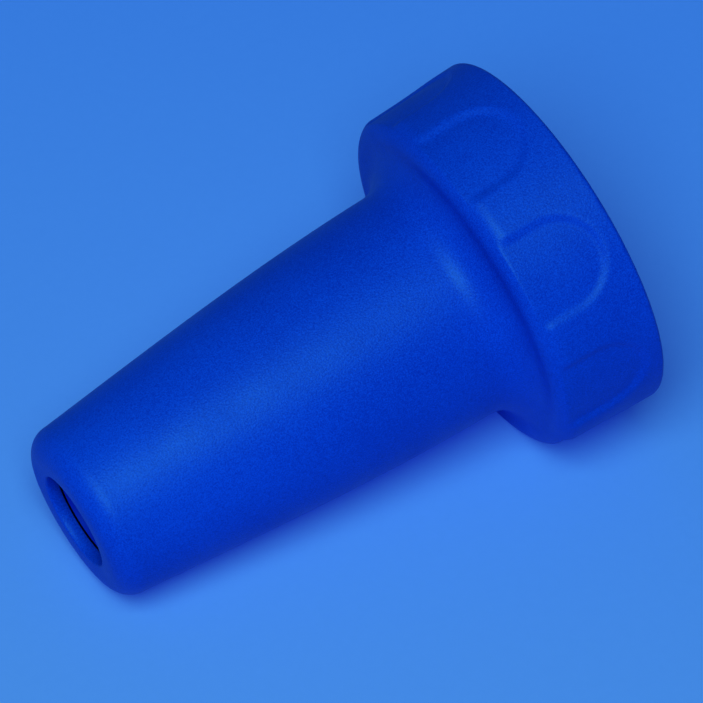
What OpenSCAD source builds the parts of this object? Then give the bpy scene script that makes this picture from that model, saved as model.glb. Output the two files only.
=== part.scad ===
// Nosepiece of a pipette filler: the screw-on nose cone with its pipette holder, check valve and
// membrane filter. Axis along X, mouth towards -X, open end of the collar at X = 0. Millimetres.

/* [Nose cone] */
// overall length from the mouth to the open end of the collar
nose_len = 62.6; // [50:0.1:80]
// outer radius of the tip, before its rounded edge
tip_r = 10.25; // [8:0.05:13]
// rounding of the tip's edge, measured across the axis
tip_round = 2.9; // [1:0.1:4]
// rounding of the tip's edge, measured along the axis
tip_round_len = 3.3; // [1:0.1:5]
// outer radius of the cone where it meets the collar
cone_end_r = 13.6; // [12.6:0.1:15]
// how far the cone's side bows outwards from a straight line
cone_bow = 0.6; // [0:0.05:1.2]
// how far the bow leans towards the collar
cone_lean = 0.25; // [0:0.05:0.5]
// radius of the mouth at its edge
mouth_r = 5.6; // [5.55:0.05:6.5]
// radius of the bore behind the mouth's edge
mouth_bore_r = 5.5; // [5:0.05:5.5]
// how far the mouth's edge lies behind the front of the rim
mouth_depth = 0.5; // [0.2:0.05:1]
// thickness of the front wall
front_wall = 1.65; // [1.5:0.05:2.5]

/* [Collar] */
// length of the collar, from its front face to the open end
collar_len = 13; // [12.6:0.1:15]
// outer radius of the collar at its front
collar_front_r = 20.65; // [20.2:0.05:22]
// outer radius of the collar at its open end
collar_back_r = 21; // [20.5:0.05:23]
// rounding of the collar's front edge
shoulder_r = 2.4; // [1:0.1:2.8]
// rounding of the collar's back edge
back_round = 0.5; // [0.3:0.1:1.5]
// fillet between the cone and the collar, measured across the axis
fillet_r = 4; // [1:0.1:4]
// fillet between the cone and the collar, measured along the axis
fillet_len = 4; // [1:0.1:6]
// number of finger recesses around the collar
recess_count = 8; // [4:1:12]
// half of the width of a finger recess
recess_half = 5.4; // [3:0.1:6]
// radius of the floor of a finger recess at the collar's front
recess_floor_r = 20.1; // [19:0.05:20.3]
// how much the floor rises towards the open end
recess_rise = 0.5; // [0:0.05:0.6]
// distance of the arch's centre from the open end
recess_arch = 7.5; // [7:0.1:9]

/* [Collar thread] */
// radius of the wall between the thread grooves
thread_r = 17.4; // [16:0.1:18]
// depth of a thread groove
groove_depth = 0.6; // [0.3:0.05:1]
// distance from one groove to the next
thread_pitch = 2.3; // [1.5:0.1:3]
// number of groove turns
groove_count = 3; // [1:1:4]
// depth of the threaded bore and the gasket's pocket
thread_depth = 11; // [8:0.1:12]

/* [Pipette holder] */
// radius of the sealing lips that grip the pipette
lip_r = 3.1; // [2.5:0.05:4]
// radius of the bore between the lips
holder_bore_r = 4.3; // [4:0.05:5]
// radius of the throat behind the pipette's stop
throat_r = 2.2; // [1.5:0.1:3]
// radius of the socket for the check valve
socket_r = 5.6; // [5:0.05:6.5]
// radius of the flange that stops the holder
flange_r = 11.6; // [11:0.05:11.7]

/* [Check valve] */
// outer radius of the valve housing
valve_r = 5.3; // [5:0.05:5.5]
// radius of the valve chamber
chamber_r = 3.6; // [3:0.05:4]
// radius of the float ball
ball_r = 2.6; // [2:0.05:3]
// radius of the hole in the valve seat
seat_hole_r = 1.9; // [1:0.05:2.4]

/* [Membrane filter] */
// outer radius of the filter's two shells
shell_r = 10.8; // [9:0.05:11]
// outer radius of the band that welds the shells together
band_r = 11.5; // [11:0.05:11.6]
// radius of the membrane
membrane_r = 10.2; // [8:0.1:10.5]
// thickness of the membrane
membrane_t = 0.3; // [0.1:0.05:0.5]
// radius of the filter's nipples
nipple_r = 2.7; // [2:0.05:3]
// radius of the air passage through the nipples
passage_r = 1.5; // [1:0.05:2]

/* [Hidden] */
$fn = 0;
cone_colour = [0.02, 0.2, 0.7];
silicone_colour = [0.05, 0.05, 0.07];
clear_colour = [0.8, 0.86, 0.92];
white_colour = [0.92, 0.94, 0.96];
ball_colour = [0.85, 0.4, 0.15];
tip_x = -nose_len;
collar_x = -collar_len;
inner_tip_x = tip_x + front_wall;
step_x = -27;
cavity_r = 11.9;
thread_x = -thread_depth;
gasket_top_x = thread_x + 1.1;
pocket_r = thread_r - 0.4;
arc_steps = 8;
cone_steps = 16;
rim_r = tip_r - tip_round;
bow_x0 = tip_x + tip_round_len;
bow_x1 = collar_x - 0.8;
side_t = (bow_x1 - fillet_len + 0.8 - bow_x0) / (bow_x1 - bow_x0);
side_end_r = cone_r(side_t);
flange_x = -26.95;
holder_x0 = tip_x + front_wall + 0.35;
holder_x1 = -24.6;
stop_x = -41;
socket_x = -38;
valve_x0 = -37.8;
valve_x1 = -29;
cap_x1 = -24.8;
ball_x = -34.1;
shell_mid_x = -20.7;
shell_half = 2.3;
nipple_x0 = -27.9;
nipple_x1 = -12;
grid_t = 0.7;
grid_r = 9.3;

// points of an elliptical arc, centre [cx, cy], half-widths rx and ry, from angle a0 to a1
function arc(cx, cy, rx, ry, a0, a1) =
    [for (i = [0:arc_steps]) [cx + rx * cos(a0 + (a1 - a0) * i / arc_steps),
                              cy + ry * sin(a0 + (a1 - a0) * i / arc_steps)]];

// radius of the bowed cone at the fraction t of its length
function cone_r(t) = tip_r + (cone_end_r - tip_r) * t
                     + (cone_bow - cone_lean * (1 - 2 * t)) * 4 * t * (1 - t);

// turns a profile drawn as [x along the axis, radius] into a solid around X
module turned() {
    rotate([0, 90, 0])
        rotate_extrude()
            mirror([1, -1, 0])
                children();
}

// a plain tube around X, from x0 to x1
module tube(x0, x1, r_out, r_in) {
    turned()
        translate([x0, r_in])
            square([x1 - x0, r_out - r_in]);
}

// a plain rod around X, from x0 to x1
module rod(x0, x1, r) {
    tube(x0, x1, r, 0);
}

// outer skin of the nose cone: rounded tip, bowed cone, fillet, shoulder, collar and back edge
module cone_outside() {
    side = [for (i = [0:cone_steps]) [bow_x0 + (bow_x1 - bow_x0) * side_t * i / cone_steps,
                                      cone_r(side_t * i / cone_steps)]];
    fillet_x = collar_x - fillet_len;
    shoulder_x = collar_x + shoulder_r;
    turned()
        polygon(concat([[tip_x + mouth_depth, 0]],
                       arc(tip_x + mouth_depth, rim_r, mouth_depth, rim_r - mouth_r, 270, 190),
                       arc(bow_x0, rim_r, tip_round_len, tip_round, 180, 91),
                       side,
                       arc(fillet_x, side_end_r + fillet_r, fillet_len, fillet_r, -84, 0),
                       arc(shoulder_x, collar_front_r - shoulder_r, shoulder_r, shoulder_r, 180, 90),
                       arc(-back_round, collar_back_r - back_round, back_round, back_round, 90, 0),
                       [[0, 0]]));
}

// one finger recess, cut from the outside, with its closed arch towards the open end
module recess() {
    intersection() {
        turned()
            polygon([[collar_x, recess_floor_r], [0, recess_floor_r + recess_rise],
                     [0, collar_back_r + 2], [collar_x - 1, collar_back_r + 2],
                     [collar_x - 1, recess_floor_r]]);
        translate([0, 0, recess_floor_r - 6])
            linear_extrude(height = 10) {
                translate([-recess_arch, 0])
                    circle(r = recess_half);
                translate([collar_x - 2, -recess_half])
                    square([collar_len + 2 - recess_arch, 2 * recess_half]);
            }
    }
}

// one V-shaped groove of the collar thread
module groove(x) {
    turned()
        polygon([[x - 0.7, thread_r - 0.3], [x + 0.7, thread_r - 0.3], [x + 0.7, thread_r],
                 [x + 0.25, thread_r + groove_depth], [x - 0.25, thread_r + groove_depth],
                 [x - 0.7, thread_r]]);
}

module nose_cone() {
    color(cone_colour)
        difference() {
            cone_outside();
            // mouth
            rod(tip_x - 1, inner_tip_x + 0.5, mouth_bore_r);
            // cavity: tapered front, wide rear, step between them
            turned()
                polygon([[inner_tip_x, 0], [inner_tip_x, 7.6], [step_x, 10.9], [step_x, cavity_r],
                         [thread_x + 1, cavity_r], [thread_x + 1, 0]]);
            // threaded bore, with the gasket's pocket at its bottom
            rod(gasket_top_x, 1, thread_r);
            rod(thread_x, 0, pocket_r);
            for (i = [0:groove_count - 1])
                groove(-2.8 - i * thread_pitch);
            for (i = [0:recess_count - 1])
                rotate([i * 360 / recess_count, 0, 0])
                    recess();
        }
}

// one sealing lip, thin at the edge that grips the pipette, leaning towards the rear
function lip(x) = [[x, holder_bore_r], [x + 1.2, lip_r], [x + 1.9, lip_r], [x + 2.4, holder_bore_r]];

module pipette_holder() {
    color(silicone_colour)
        turned()
            polygon(concat([[holder_x0, 7.3], [holder_x0, 5.45], [holder_x0 + 1, 5],
                            [holder_x0 + 2.4, holder_bore_r]],
                           lip(-57), lip(-52), lip(-47),
                           [[stop_x, holder_bore_r], [stop_x, throat_r], [socket_x, throat_r],
                            [socket_x, socket_r], [holder_x1, socket_r], [holder_x1, flange_r],
                            [flange_x, flange_r], [flange_x, 10.55]]));
}

module valve_body() {
    color(clear_colour) {
        difference() {
            rod(valve_x0, valve_x1, valve_r);
            rod(valve_x0 - 1, valve_x0 + 2, 1.5);
            rod(valve_x0 + 1, valve_x1 - 1, chamber_r);
            rod(valve_x1 - 1.5, valve_x1 + 1, 4.4);
        }
        // four ribs that hold the ball off the inlet hole
        for (i = [0:3])
            rotate([45 + i * 90, 0, 0])
                translate([valve_x0 + 0.9, -0.4, 2.1])
                    cube([0.8, 0.8, 1.6]);
    }
}

module valve_ball() {
    color(ball_colour)
        translate([ball_x, 0, 0])
            sphere(r = ball_r);
}

module valve_seat() {
    color(silicone_colour)
        tube(valve_x1 - 1.5, valve_x1, 4.4, seat_hole_r);
}

module valve_cap() {
    color(clear_colour)
        difference() {
            rod(valve_x1, cap_x1, valve_r);
            rod(valve_x1 - 1, valve_x1 + 2, seat_hole_r);
            rod(valve_x1 + 1, cap_x1 + 1, nipple_r + 0.1);
        }
}

// one filter shell: a dish with its nipple, drawn for the inlet side; x = 0 is the membrane's plane
module filter_shell(nipple_end) {
    difference() {
        union() {
            rod(-shell_half, -membrane_t / 2, shell_r);
            rod(nipple_end, -shell_half + 0.5, nipple_r);
        }
        rod(nipple_end - 1, 0, passage_r);
        rod(-membrane_t / 2 - grid_t, 0, grid_r + 0.1);
        // shallow air space behind the grid
        rod(-membrane_t / 2 - grid_t - 0.4, 0, 8);
    }
}

// a support grid: a thin disc with a ring pattern of holes, from x0 to x0 + grid_t
module filter_grid(x0) {
    translate([x0, 0, 0])
        rotate([0, 90, 0])
            linear_extrude(height = grid_t)
                difference() {
                    circle(r = grid_r);
                    for (k = [1:3])
                        for (i = [0:6 * k - 1])
                            rotate(i * 60 / k)
                                translate([2.7 * k, 0])
                                    circle(r = 0.8);
                }
}

module filter_inlet_shell() {
    color(clear_colour)
        translate([shell_mid_x, 0, 0])
            filter_shell(nipple_x0 - shell_mid_x);
}

module filter_outlet_shell() {
    color(clear_colour)
        translate([shell_mid_x, 0, 0])
            mirror([1, 0, 0])
                filter_shell(shell_mid_x - nipple_x1);
}

module inlet_grid() {
    color(white_colour)
        filter_grid(shell_mid_x - membrane_t / 2 - grid_t);
}

module outlet_grid() {
    color(white_colour)
        filter_grid(shell_mid_x + membrane_t / 2);
}

module filter_membrane() {
    color(white_colour)
        rod(shell_mid_x - membrane_t / 2, shell_mid_x + membrane_t / 2, membrane_r);
}

module filter_band() {
    color(clear_colour)
        tube(shell_mid_x - 1.8, shell_mid_x + 1.8, band_r, shell_r);
}

module collar_gasket() {
    color(silicone_colour)
        tube(thread_x + 0.05, thread_x + 1.05, pocket_r - 0.2, cavity_r + 0.4);
}

nose_cone();
pipette_holder();
valve_body();
valve_ball();
valve_seat();
valve_cap();
filter_inlet_shell();
inlet_grid();
filter_membrane();
outlet_grid();
filter_outlet_shell();
filter_band();
collar_gasket();
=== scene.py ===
"""Nosepiece of a pipette filler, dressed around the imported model. Lengths below are in millimetres."""

import math

import bpy
from mathutils import Matrix, Vector


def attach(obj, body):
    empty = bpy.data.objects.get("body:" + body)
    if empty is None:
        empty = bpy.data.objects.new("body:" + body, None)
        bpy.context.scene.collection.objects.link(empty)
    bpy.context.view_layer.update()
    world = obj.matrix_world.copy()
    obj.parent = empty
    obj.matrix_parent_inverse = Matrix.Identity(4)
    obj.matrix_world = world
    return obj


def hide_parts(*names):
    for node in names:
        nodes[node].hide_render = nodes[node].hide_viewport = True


MM = 0.001

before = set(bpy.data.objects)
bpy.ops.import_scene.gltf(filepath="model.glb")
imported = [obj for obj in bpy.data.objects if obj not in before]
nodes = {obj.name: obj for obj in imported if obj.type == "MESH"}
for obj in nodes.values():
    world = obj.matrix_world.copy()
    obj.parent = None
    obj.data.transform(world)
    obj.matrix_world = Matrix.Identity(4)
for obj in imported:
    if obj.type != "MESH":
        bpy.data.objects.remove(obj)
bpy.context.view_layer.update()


# ---------------------------------------------------------------- mesh helpers

def corner(line, steps=5):
    """The closed outline through (x, radius, rounding) points, with each corner rounded."""
    out = []
    n = len(line)
    for i, (x, y, r) in enumerate(line):
        p = Vector((x, y))
        a = Vector(line[i - 1][:2]) - p
        b = Vector(line[(i + 1) % n][:2]) - p
        if r <= 0 or a.length < 1e-9 or b.length < 1e-9:
            out.append((p.x, p.y))
            continue
        half = a.angle(b) / 2
        if abs(half - math.pi / 2) < 0.02:
            out.append((p.x, p.y))
            continue
        back = min(r / math.tan(half), 0.49 * a.length, 0.49 * b.length)
        r = back * math.tan(half)
        centre = p + (a.normalized() + b.normalized()).normalized() * (r / math.sin(half))
        start = p + a.normalized() * back - centre
        turn = start.angle_signed(p + b.normalized() * back - centre)
        for k in range(steps + 1):
            v = Matrix.Rotation(-turn * k / steps, 2) @ start
            out.append((centre.x + v.x, centre.y + v.y))
    return out


def build(name, pieces, body, material, sharp):
    """One object from several (verts, faces) pieces; edges over sharp degrees stay hard."""
    verts, faces = [], []
    for v, f in pieces:
        base = len(verts)
        verts += v
        faces += [[i + base for i in face] for face in f]
    mesh = bpy.data.meshes.new(name)
    mesh.from_pydata(verts, [], faces)
    mesh.validate()
    mesh.polygons.foreach_set("use_smooth", [True] * len(mesh.polygons))
    mesh.set_sharp_from_angle(angle=math.radians(sharp))
    mesh.update()
    obj = bpy.data.objects.new(name, mesh)
    bpy.context.scene.collection.objects.link(obj)
    obj.data.materials.append(material)
    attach(obj, body)
    return obj


def turned(outline, turns, shape=None):
    """A closed outline of (x, radius) turned around X. shape(x, r, angle) may move a point."""
    verts, rings = [], []
    for x, r in outline:
        if r < 1e-6:
            rings.append([len(verts)] * turns)
            verts.append((x * MM, 0.0, 0.0))
            continue
        ring = []
        for k in range(turns):
            a = 2 * math.pi * k / turns
            xx, rr = shape(x, r, a) if shape else (x, r)
            ring.append(len(verts))
            verts.append((xx * MM, rr * math.sin(a) * MM, rr * math.cos(a) * MM))
        rings.append(ring)
    faces = []
    n = len(rings)
    for i in range(n):
        p, q = rings[i], rings[(i + 1) % n]
        if p[0] == p[1] and q[0] == q[1]:
            continue
        for k in range(turns):
            m = (k + 1) % turns
            face = [p[k], q[k], q[m], p[m]]
            face = [v for j, v in enumerate(face) if v not in face[:j]]
            faces.append(face)
    area = sum(a[0] * b[1] - b[0] * a[1]
               for a, b in zip(outline, outline[1:] + outline[:1]))
    if area > 0:
        faces = [f[::-1] for f in faces]
    return verts, faces


def block(low, high, angle, bevel):
    """A small rib with chamfered long edges, turned by angle about X."""
    (x0, y0, z0), (x1, y1, z1) = low, high
    ring = [(x0 + bevel, z1), (x1 - bevel, z1), (x1, z1 - bevel), (x1, z0), (x0, z0),
            (x0, z1 - bevel)]
    verts = []
    for y in (y0, y1):
        for x, z in ring:
            ca, sa = math.cos(angle), math.sin(angle)
            verts.append((x * MM, (y * ca + z * sa) * MM, (z * ca - y * sa) * MM))
    faces = [[5, 4, 3, 2, 1, 0], [6, 7, 8, 9, 10, 11]]
    for i in range(6):
        j = (i + 1) % 6
        faces.append([i, j, 6 + j, 6 + i])
    return verts, faces


def smooth(t):
    """0 up to 1, easing in and out."""
    t = min(1.0, max(0.0, t))
    return t * t * (3 - 2 * t)


# ---------------------------------------------------------------- materials

def nodes_of(name):
    mat = bpy.data.materials.new(name)
    mat.use_nodes = True
    tree = mat.node_tree
    shader = next(n for n in tree.nodes if n.type == "BSDF_PRINCIPLED")
    return mat, tree, shader


def noise(tree, coords, scale, detail, rough):
    n = tree.nodes.new("ShaderNodeTexNoise")
    n.inputs["Scale"].default_value = scale
    n.inputs["Detail"].default_value = detail
    n.inputs["Roughness"].default_value = rough
    tree.links.new(coords, n.inputs["Vector"])
    return n.outputs["Fac"]


def ranged(tree, value, low, high, out_low, out_high):
    n = tree.nodes.new("ShaderNodeMapRange")
    n.inputs["From Min"].default_value = low
    n.inputs["From Max"].default_value = high
    n.inputs["To Min"].default_value = out_low
    n.inputs["To Max"].default_value = out_high
    tree.links.new(value, n.inputs["Value"])
    return n.outputs["Result"]


def two_colours(tree, fac, first, second):
    """A mix of two colours, each a tuple or another node's output."""
    n = tree.nodes.new("ShaderNodeMix")
    n.data_type = "RGBA"
    sockets = [s for s in n.inputs if s.type == "RGBA"]
    for socket, colour in zip(sockets, (first, second)):
        if isinstance(colour, tuple):
            socket.default_value = (*colour, 1)
        else:
            tree.links.new(colour, socket)
    tree.links.new(fac, n.inputs[0])
    return [s for s in n.outputs if s.type == "RGBA"][0]


def object_coords(tree):
    return tree.nodes.new("ShaderNodeTexCoord").outputs["Object"]


def bump(tree, shader, height, distance):
    n = tree.nodes.new("ShaderNodeBump")
    n.inputs["Distance"].default_value = distance
    n.inputs["Strength"].default_value = 1.0
    tree.links.new(height, n.inputs["Height"])
    tree.links.new(n.outputs["Normal"], shader.inputs["Normal"])


PLASTIC_IOR = 1.49
DRIFT_SCALE = 45.0      # slow colour drift, per metre
GLOSS_SCALE = 160.0     # patches of uneven gloss, per metre
SCATTER_DEPTH = 1.2 * MM


def moulded(name, dark, light, rough, grain_mm, grain_height, tint=None,
            specular=0.5, speckle=0.0, subsurface=0.0):
    """Moulded plastic or rubber: fine erosion grain, slow colour drift, uneven gloss."""
    mat, tree, shader = nodes_of(name)
    at = object_coords(tree)
    drift = noise(tree, at, DRIFT_SCALE, 4.0, 0.6)
    if speckle:
        grit = ranged(tree, noise(tree, at, 1000.0 / speckle, 1.0, 0.5), 0.2, 0.8, -0.8, 0.8)
        total = tree.nodes.new("ShaderNodeMath")
        total.operation = "ADD"
        tree.links.new(drift, total.inputs[0])
        tree.links.new(grit, total.inputs[1])
        drift = total.outputs[0]
    tree.links.new(two_colours(tree, drift, dark, light), shader.inputs["Base Color"])
    fine = noise(tree, at, 1000.0 / grain_mm, 2.0, 0.5)
    gloss = noise(tree, at, GLOSS_SCALE, 3.0, 0.6)
    tree.links.new(ranged(tree, gloss, 0.3, 0.7, rough - 0.05, rough + 0.05),
                   shader.inputs["Roughness"])
    bump(tree, shader, fine, grain_height * MM)
    shader.inputs["Specular IOR Level"].default_value = specular
    shader.inputs["IOR"].default_value = PLASTIC_IOR
    if tint:
        shader.inputs["Specular Tint"].default_value = (*tint, 1)
    if subsurface:
        shader.inputs["Subsurface Weight"].default_value = subsurface
        shader.inputs["Subsurface Radius"].default_value = (1.0, 1.0, 1.0)
        shader.inputs["Subsurface Scale"].default_value = SCATTER_DEPTH
    return mat


BLUE_TINT = (0.12, 0.85, 0.9)      # highlights on the blue pieces stay bluish
BLUE_DARK = (0.0002, 0.026, 0.455)
BLUE_LIGHT = (0.0010, 0.056, 0.665)
cone_plastic = moulded("cone_plastic", BLUE_DARK, BLUE_LIGHT, 0.48,
                       grain_mm=0.22, grain_height=0.035, speckle=0.16,
                       tint=BLUE_TINT, specular=0.24)
dark_silicone = moulded("dark_silicone", (0.0003, 0.011, 0.46), (0.0005, 0.013, 0.51), 0.6,
                        grain_mm=0.5, grain_height=0.01, specular=0.15, tint=BLUE_TINT)
# painted shade: a near-black material for the holder's front face, where the gap behind the mouth lies
# in shade
gap_painted_shade = moulded("silicone_painted_shade", (0.0002, 0.0006, 0.002), (0.0003, 0.0009, 0.003), 0.8,
               grain_mm=0.5, grain_height=0.01, specular=0.05)
clear_plastic = moulded("clear_plastic", (0.72, 0.78, 0.84), (0.80, 0.85, 0.90), 0.22,
                        grain_mm=0.8, grain_height=0.004, subsurface=0.3, specular=0.5)
ball_plastic = moulded("ball_plastic", (0.78, 0.80, 0.82), (0.84, 0.86, 0.88), 0.25,
                       grain_mm=0.6, grain_height=0.003, subsurface=0.2)
grid_plastic = moulded("grid_plastic", (0.80, 0.83, 0.86), (0.88, 0.90, 0.92), 0.35,
                       grain_mm=0.5, grain_height=0.006)
band_plastic = moulded("band_plastic", (0.62, 0.70, 0.80), (0.70, 0.77, 0.86), 0.3,
                       grain_mm=0.5, grain_height=0.006, subsurface=0.2)
membrane_mat = moulded("membrane", (0.86, 0.86, 0.84), (0.93, 0.93, 0.92), 0.85,
                       grain_mm=0.08, grain_height=0.02, specular=0.2)


# ---------------------------------------------------------------- nose cone

TIP_X = -62.6
TIP_R = 10.25           # the cone's radius behind the tip's rounding
TIP_ROUND = 2.9         # rounding of the tip, across the axis
TIP_ROUND_LEN = 2.8     # and along it
CONE_END_R = 13.6       # the cone's radius where the fillet would end
BOW = 0.6               # how far the side swells
LEAN = 0.25             # and how much more of it lies towards the collar
COLLAR_X = -13.0
FRONT_R = 20.65
BACK_R = 21.0
SHOULDER = 2.4
FILLET = 4.0
BACK_ROUND = 0.5
RECESSES = 8
FLOOR_R = 20.1          # radius of a recess's floor at the collar's front
FLOOR_RISE = 0.5        # and its rise to the back
HALF = 5.4              # half the width of a recess
ARCH_X = -7.5           # where the recess's round end begins
WALL_SOFT = 1.2         # width over which a recess's wall rises
MOUTH_R = 5.6
MOUTH_DEPTH = 0.12
BORE_R = 5.5            # the hole through the front wall
THREAD_R = 17.4
THREAD_DEPTH = 0.6
PITCH = 2.3
CONE_TURNS = 416        # a multiple of the recesses, so that they all come out alike


def cone_radius(t):
    """Radius of the bowed side; t runs from 0 at the tip's rounding to 1 at the collar."""
    return (TIP_R + (CONE_END_R - TIP_R) * t
            + (BOW - LEAN * (1 - 2 * t)) * 4 * t * (1 - t))


def arc(cx, cy, rx, ry, a0, a1, steps):
    """Points of an elliptical arc about (cx, cy), from angle a0 to a1 in degrees."""
    return [(cx + rx * math.cos(math.radians(a0 + (a1 - a0) * i / steps)),
             cy + ry * math.sin(math.radians(a0 + (a1 - a0) * i / steps))) for i in range(steps + 1)]


def recess(x, r, angle):
    """The outer radius with the eight finger recesses pressed in, their edges softened."""
    if r < FLOOR_R - 0.3 or x < COLLAR_X - 0.1:
        return r
    step = 2 * math.pi / RECESSES
    off = (angle + step / 2) % step - step / 2
    y = r * math.sin(off)
    if x <= ARCH_X:
        inside = HALF - abs(y)
    else:
        inside = HALF - math.hypot(x - ARCH_X, y)
    press = smooth((inside + WALL_SOFT * 0.3) / WALL_SOFT)
    depth = r - FLOOR_R - FLOOR_RISE * (x - COLLAR_X) / -COLLAR_X
    # no depth where the floor would lie outside the collar, with a soft bend
    soft = 0.06
    depth = 0.5 * (depth + math.sqrt(depth * depth + soft * soft))
    return r - depth * press


bow_x0 = TIP_X + TIP_ROUND_LEN
bow_x1 = COLLAR_X - 0.8
side_t = (COLLAR_X - FILLET - bow_x0) / (bow_x1 - bow_x0)
outer = arc(bow_x0, TIP_R - TIP_ROUND, TIP_ROUND_LEN, TIP_ROUND, 180, 92, 16)
outer += [(bow_x0 + (bow_x1 - bow_x0) * side_t * i / 30, cone_radius(side_t * i / 30))
          for i in range(31)]
side_end = cone_radius(side_t)
outer += arc(COLLAR_X - FILLET, side_end + FILLET, FILLET, FILLET, -86, 0, 16)
outer += arc(COLLAR_X + SHOULDER, FRONT_R - SHOULDER, SHOULDER, SHOULDER, 180, 90, 22)
side0, side1 = COLLAR_X + SHOULDER, -BACK_ROUND
outer += [(side0 + (side1 - side0) * i / 48, FRONT_R + (BACK_R - FRONT_R) * i / 48)
          for i in range(1, 48)]
outer += arc(-BACK_ROUND, BACK_R - BACK_ROUND, BACK_ROUND, BACK_ROUND, 90, 0, 8)

# inside, from the open end forward to the mouth
inner = [(0.0, THREAD_R + 0.45), (-0.12, THREAD_R + 0.15), (-0.45, THREAD_R)]       # lead-in
inner += [(-0.45 - 9.35 * i / 60, THREAD_R) for i in range(1, 60)]                  # threaded bore
inner += [(-9.9, THREAD_R), (-9.9, 17.0), (-10.75, 17.0), (-11.0, 16.75)]           # gasket's seat
inner += [(-11.0, 12.15), (-11.25, 11.9), (-26.8, 11.9), (-27.0, 11.7)]             # filter's room
inner += [(-27.0, 11.0), (-27.25, 10.88), (-60.45, 7.62), (-60.85, 7.3)]            # holder's taper
inner += [(-61.07, 6.9), (-61.07, 5.56), (-61.12, BORE_R)]                          # front wall
mouth = [(-62.3, BORE_R), (-62.4, 5.53)]
mouth += arc(TIP_X + MOUTH_DEPTH, TIP_R - TIP_ROUND, MOUTH_DEPTH,
             TIP_R - TIP_ROUND - MOUTH_R, 268, 188, 14)
outline = outer + inner + mouth


def cone_shape(x, r, angle):
    """Recesses outside, and a helical groove that fades out at both ends of the bore."""
    if r > 17.9 and x > COLLAR_X:
        return x, recess(x, r, angle)
    if abs(r - THREAD_R) < 0.01 and -9.6 < x < -0.3:
        phase = ((x + 0.9) / PITCH + angle / (2 * math.pi)) % 1.0
        v = abs(phase - 0.5) * 2
        groove = smooth((0.62 - v) / 0.42)
        fade = smooth((-0.9 - x) / 0.7) * smooth((x + 9.3) / 0.7)
        return x, r + THREAD_DEPTH * groove * fade
    return x, r


nose = build("nose_cone_skin", [turned(outline, CONE_TURNS, cone_shape)], "cone", cone_plastic, 60)
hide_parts("nose_cone")

# ---------------------------------------------------------------- pipette holder

HOLDER_FRONT = -60.9
HOLDER_BACK = -24.6
FLANGE_X = -26.95       # the flange rests on the cone's inner step here
HOLDER_BORE = 4.3
LIP_R = 3.1
STOP_R = 2.2            # the narrow part that a pipette stops at
SOCKET_R = 5.6
RING_CUT = 0.35
SIDE_R0, SIDE_R1 = 7.3, 10.55
SIDE_X0 = -60.6


def side_r(x):
    """The holder's tapered outside, from its front to the flange."""
    return SIDE_R0 + (SIDE_R1 - SIDE_R0) * (x - SIDE_X0) / (FLANGE_X - SIDE_X0)


holder_line = [(HOLDER_FRONT, 7.25, 0.5), (HOLDER_FRONT, 5.45, 0.08), (-59.8, 5.15, 0.6),
               (-58.2, HOLDER_BORE, 0.6)]
# three sealing lips, steeper on the inner side, which lets a pipette in and holds it
for lip_x in (-57, -52, -47):
    holder_line += [(lip_x, HOLDER_BORE, 0.5), (lip_x + 1.2, LIP_R, 0.2),
                    (lip_x + 1.9, LIP_R, 0.25), (lip_x + 2.4, HOLDER_BORE, 0.3)]
holder_line += [(-41, HOLDER_BORE, 0.4), (-41, STOP_R, 0.4), (-38, STOP_R, 0.2),
                (-38, SOCKET_R, 0.3), (HOLDER_BACK, SOCKET_R, 0.5), (HOLDER_BACK, 11.6, 0.45),
                (FLANGE_X, 11.6, 0.45), (FLANGE_X, SIDE_R1, 0.15)]
# shallow grip rings moulded into the outside, between the flange and the front
for ring_x in (-30.5, -32.5, -34.5):
    for dx, cut in ((0.5, 0.0), (0.3, RING_CUT), (-0.3, RING_CUT), (-0.5, 0.0)):
        holder_line.append((ring_x + dx, side_r(ring_x + dx) - cut, 0.12))
holder = build("holder_skin", [turned(corner(holder_line), 128)], "holder", dark_silicone, 50)
# painted shade: the front face, seen through the gap behind the mouth, is made near black to stand in
# for the shade in that gap
holder.data.materials.append(gap_painted_shade)
for face in holder.data.polygons:
    if face.center.x < (HOLDER_FRONT + 0.03) * MM:
        face.material_index = 1
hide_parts("pipette_holder")

# ---------------------------------------------------------------- check valve

VALVE_R = 5.3
INLET_R = 1.5
CHAMBER_R = 3.6         # the room the ball moves in
OUTLET_R = 1.9
SEAT_X0, SEAT_X1 = -30.5, -29
VALVE_RIBS = 4

body_line = [(-37.8, VALVE_R, 0.5), (-37.8, INLET_R, 0.25), (-36.8, INLET_R, 0.1),
             (-36.8, CHAMBER_R, 0.4), (SEAT_X0, CHAMBER_R, 0.1), (SEAT_X0, 4.4, 0.05),
             (SEAT_X1, 4.4, 0.05), (SEAT_X1, VALVE_R, 0.12)]
valve_pieces = [turned(corner(body_line), 96)]
# ribs in front of the inlet, which keep the ball off it
for i in range(VALVE_RIBS):
    angle = math.radians(45 + 360 / VALVE_RIBS * i)
    valve_pieces.append(block((-37.0, -0.4, 2.1), (-36.1, 0.4, 3.7), angle, 0.12))
valve_body = build("valve_body_skin", valve_pieces, "valve", clear_plastic, 40)
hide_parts("valve_body")

seat_line = [(SEAT_X0, 4.35, 0.2), (SEAT_X0, OUTLET_R, 0.5), (SEAT_X1, OUTLET_R, 0.25),
             (SEAT_X1, 4.35, 0.15)]
seat = build("valve_seat_skin", [turned(corner(seat_line, 6), 96)], "valve", dark_silicone, 50)
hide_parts("valve_seat")

cap_line = [(-28.98, VALVE_R, 0.12), (-28.98, OUTLET_R, 0.15), (-28, OUTLET_R, 0.1),
            (-28, 2.8, 0.15), (-24.8, 2.8, 0.3), (-24.8, 4.4, 0.25), (-25.4, 4.4, 0.15),
            (-25.4, VALVE_R, 0.3)]
cap = build("valve_cap_skin", [turned(corner(cap_line), 96)], "valve", clear_plastic, 40)
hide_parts("valve_cap")

BALL_X = -34.1
BALL_R = 2.6


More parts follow.
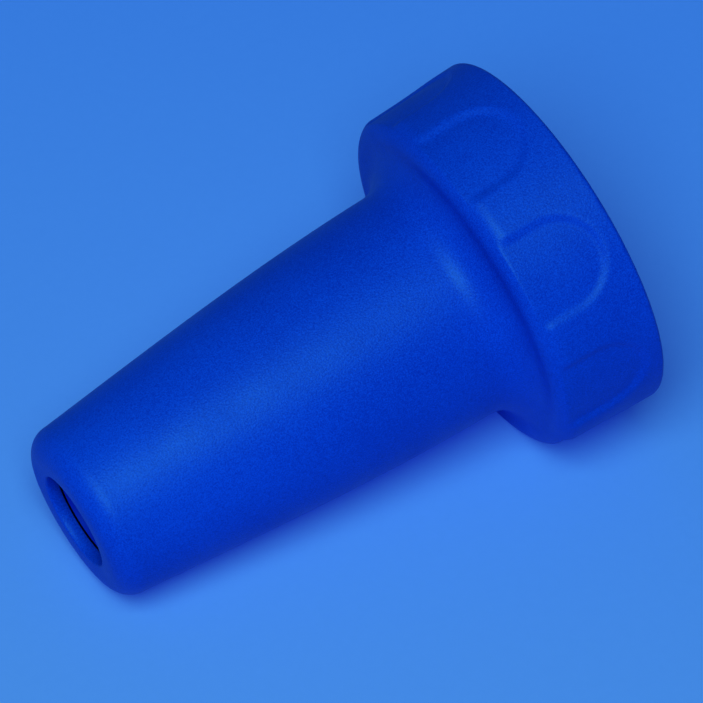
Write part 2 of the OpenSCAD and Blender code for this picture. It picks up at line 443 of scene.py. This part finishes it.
def ball_shape(x, r, angle):
    """A fine moulding seam around the ball, through the axis."""
    seam = 0.012 * math.exp(-((r * math.cos(angle)) / 0.1) ** 2)
    scale = 1.0 - 0.004 + seam / BALL_R
    return BALL_X + (x - BALL_X) * scale, r * scale


ball_line = [(BALL_X - BALL_R, 0.0)]
ball_line += [(BALL_X - BALL_R * math.cos(math.pi * i / 48), BALL_R * math.sin(math.pi * i / 48))
              for i in range(1, 48)]
ball_line += [(BALL_X + BALL_R, 0.0)]
ball = build("valve_ball_skin", [turned(ball_line, 96, ball_shape)], "ball", ball_plastic, 60)
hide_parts("valve_ball")

# ---------------------------------------------------------------- membrane filter

MID = -20.7             # the membrane's plane
RIBS = 12
RIB_RISE = 0.45
SHELL_R = 10.8
BAND_R = 11.5
SERRATIONS = 96


def shell_shape(x, r, angle):
    """Radial ribs raised on the dish's outer face."""
    if 3.6 < r < 10.0 and abs(abs(x - MID) - 2.3) < 0.02:
        step = 2 * math.pi / RIBS
        off = abs((angle + step / 2) % step - step / 2) * r
        rise = RIB_RISE * smooth((0.62 - off) / 0.3)
        rise *= smooth((r - 3.6) / 0.5) * smooth((10.0 - r) / 0.5)
        return x + math.copysign(rise, x - MID), r
    return x, r


def shell_line(side, end):
    """Outline of one shell; side is -1 for the inlet and +1 for the outlet, end is its nipple's end."""
    line = [(0.15, 9.4, 0.05), (0.85, 9.4, 0.05), (0.85, 8.0, 0.2), (1.25, 8.0, 0.3),
            (1.25, 1.5, 0.3), (end, 1.5, 0.25), (end, 2.25, 0.3)]
    for barb in (end - 0.9, end - 2.2):
        top = 2.68 if barb > end - 1 else 2.66
        line += [(barb, top, 0.1), (barb - 0.4, top, 0.06), (barb - 0.55, 2.4, 0.06)]
    line += [(3.2, 2.5, 0.5), (2.3, 3.1, 0.5)]
    # many points across the face, for its ribs
    line += [(2.3, 3.4 + 0.3 * i, 0.0) for i in range(23)]
    line += [(2.3, 10.5, 0.0), (2.0, SHELL_R, 0.2), (0.15, SHELL_R, 0.05)]
    return [(MID + side * x, r) for x, r in corner(line, 4)]


for side, end, name in ((-1, 7.2, "filter_inlet_shell"), (1, 8.7, "filter_outlet_shell")):
    shell = build(name + "_skin", [turned(shell_line(side, end), 192, shell_shape)],
                  "filter", clear_plastic, 40)
    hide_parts(name)


def band_shape(x, r, angle):
    """Fine serrations around the band."""
    if r > 11.3 and abs(x - MID) < 1.55:
        return x, r - 0.12 * smooth(0.5 + 0.5 * math.sin(angle * SERRATIONS))
    return x, r


band_line = [(MID - 1.8, 10.82, 0.05), (MID + 1.8, 10.82, 0.05), (MID + 1.8, BAND_R, 0.2),
             (MID + 1.55, BAND_R, 0.0)]
band_line += [(MID + 1.5 - 0.5 * i, BAND_R, 0.0) for i in range(7)]
band_line += [(MID - 1.55, BAND_R, 0.0), (MID - 1.8, BAND_R, 0.2)]
band = build("filter_band_skin", [turned(corner(band_line), 8 * SERRATIONS, band_shape)],
             "filter", band_plastic, 40)
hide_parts("filter_band")

# ---------------------------------------------------------------- collar gasket

GASKET_FRONT, GASKET_BACK = -10.95, -9.95
GASKET_R0, GASKET_R1 = 12.3, 16.8
GROOVE = 0.15

gasket_line = [(GASKET_FRONT, GASKET_R0, 0.35), (GASKET_BACK, GASKET_R0, 0.35)]
# three shallow grooves between the beads that seal against the handle
for groove_r in (13.5, 14.55, 15.6):
    gasket_line += [(GASKET_BACK, groove_r - 0.25, 0.08), (GASKET_BACK - GROOVE, groove_r - 0.12, 0.08),
                    (GASKET_BACK - GROOVE, groove_r + 0.12, 0.08), (GASKET_BACK, groove_r + 0.25, 0.08)]
gasket_line += [(GASKET_BACK, GASKET_R1, 0.35), (GASKET_FRONT, GASKET_R1, 0.35)]
gasket = build("collar_gasket_skin", [turned(corner(gasket_line), 160)],
               "gasket", dark_silicone, 50)
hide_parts("collar_gasket")

# ---------------------------------------------------------------- materials on the CAD nodes

for name, mat in {"pipette_holder": dark_silicone, "valve_body": clear_plastic,
                  "valve_ball": ball_plastic, "valve_seat": dark_silicone,
                  "valve_cap": clear_plastic, "filter_inlet_shell": clear_plastic,
                  "inlet_grid": grid_plastic, "filter_membrane": membrane_mat,
                  "outlet_grid": grid_plastic, "filter_outlet_shell": clear_plastic,
                  "filter_band": band_plastic, "collar_gasket": dark_silicone,
                  "nose_cone": cone_plastic}.items():
    for s in nodes[name].material_slots:
        s.material = mat

# ---------------------------------------------------------------- ground, light, camera

# the nosepiece lies on the collar's edge and on the underside of its tip
collar_touch = Vector((-0.9, 0, -20.62))
tip_touch = Vector((-60.3, 0, -10.3))
along = (collar_touch - tip_touch).normalized()
up = Vector((-along.z, 0, along.x)).normalized()
across = up.cross(along)
ground = bpy.data.meshes.new("ground")
GROUND_DROP = 0.12      # room left under the two touching points
GROUND_HALF = 1600.0
centre = (collar_touch + tip_touch) / 2 - up * GROUND_DROP
ground.from_pydata([(centre + (along * sx + across * sy) * GROUND_HALF) * MM
                    for sx, sy in ((-1, -1), (1, -1), (1, 1), (-1, 1))], [], [(0, 1, 2, 3)])
ground.update()
ground_obj = bpy.data.objects.new("ground", ground)
bpy.context.scene.collection.objects.link(ground_obj)
# blue paper, with painted light: a little lighter and less blue on the camera's side
mat, tree, shader = nodes_of("ground_paper")
at = object_coords(tree)
fibre = noise(tree, at, 900.0, 4.0, 0.6)
NEARER = (-0.507, -0.636, 0.0)      # over the floor, to the side the camera stands on
slope = tree.nodes.new("ShaderNodeVectorMath")
slope.operation = "DOT_PRODUCT"
slope.inputs[1].default_value = NEARER
tree.links.new(at, slope.inputs[0])
# painted light: the blend runs from the darker far colour to the lighter near colour across the floor
painted_light_falloff = ranged(tree, slope.outputs["Value"], -0.040, 0.075, 0.0, 1.0)
far_paper_shaded = two_colours(tree, fibre, (0.053, 0.279, 0.71), (0.057, 0.291, 0.73))
near_paper_lit = two_colours(tree, fibre, (0.076, 0.317, 0.61), (0.081, 0.329, 0.63))
tree.links.new(two_colours(tree, painted_light_falloff, far_paper_shaded, near_paper_lit), shader.inputs["Base Color"])
shader.inputs["Roughness"].default_value = 0.95
shader.inputs["Specular IOR Level"].default_value = 0.0
shader.inputs["Emission Color"].default_value = (0.0, 0.0, 1.0, 1)
shader.inputs["Emission Strength"].default_value = 0.22
bump(tree, shader, fibre, 0.02 * MM)
ground.materials.append(mat)

scene = bpy.context.scene
scene.view_settings.view_transform = "Standard"
scene.view_settings.look = "None"
world = bpy.data.worlds.new("studio")
scene.world = world
world.use_nodes = True
back = next(n for n in world.node_tree.nodes if n.type == "BACKGROUND")
back.inputs["Color"].default_value = (0.3, 0.55, 1.0, 1)
back.inputs["Strength"].default_value = 0.035

# camera: it looks at AIM from this azimuth and elevation, and is turned about its own line of sight
AIM = Vector((-26.63, 0.07, 0.05))
AZIMUTH, ELEVATION, ROLL = math.radians(-23.597), math.radians(52.929), math.radians(-12.139)
DISTANCE = 678.32
FOCAL = 8.9215          # focal length, in widths of the picture

cam_back = Vector((math.sin(AZIMUTH) * math.cos(ELEVATION),
                   -math.cos(AZIMUTH) * math.cos(ELEVATION), math.sin(ELEVATION)))
level = Vector((math.cos(AZIMUTH), math.sin(AZIMUTH), 0.0))
above = cam_back.cross(level)
cam_right = level * math.cos(ROLL) + above * math.sin(ROLL)
cam_up = above * math.cos(ROLL) - level * math.sin(ROLL)
cam_data = bpy.data.cameras.new("camera")
cam_data.sensor_width = 36.0
cam_data.lens = cam_data.sensor_width * FOCAL
cam_data.clip_start, cam_data.clip_end = 0.01, 20.0
camera = bpy.data.objects.new("camera", cam_data)
turn = Matrix((cam_right, cam_up, cam_back)).transposed().to_4x4()
camera.matrix_world = Matrix.Translation((AIM + cam_back * DISTANCE) * MM) @ turn
scene.collection.objects.link(camera)
scene.camera = camera

# soft light: a large one beside the camera, and a weak blue one behind the nosepiece
target = Vector((-30, 0, 0)) * MM


def area_light(name, place, side, power, colour=(1, 1, 1)):
    """A square soft light facing the object; side in metres, power in watts."""
    data = bpy.data.lights.new(name, "AREA")
    data.shape = "SQUARE"
    data.size = side
    data.energy = power
    data.color = colour
    obj = bpy.data.objects.new(name, data)
    obj.location = place
    obj.rotation_mode = "QUATERNION"
    obj.rotation_quaternion = (target - Vector(place)).to_track_quat("-Z", "Y")
    scene.collection.objects.link(obj)


def seen_from(right, upward, toward, distance):
    """A place given by directions as the camera sees them; the distance is in metres."""
    v = (cam_right * right + cam_up * upward + cam_back * toward).normalized()
    return target + v * distance


area_light("key", seen_from(-0.09, 0.14, 1.0, 0.9), 0.48, 8.0)
area_light("rear", seen_from(0.1, 0.9, -0.5, 1.1), 0.6, 0.35, (0.15, 0.45, 1.0))
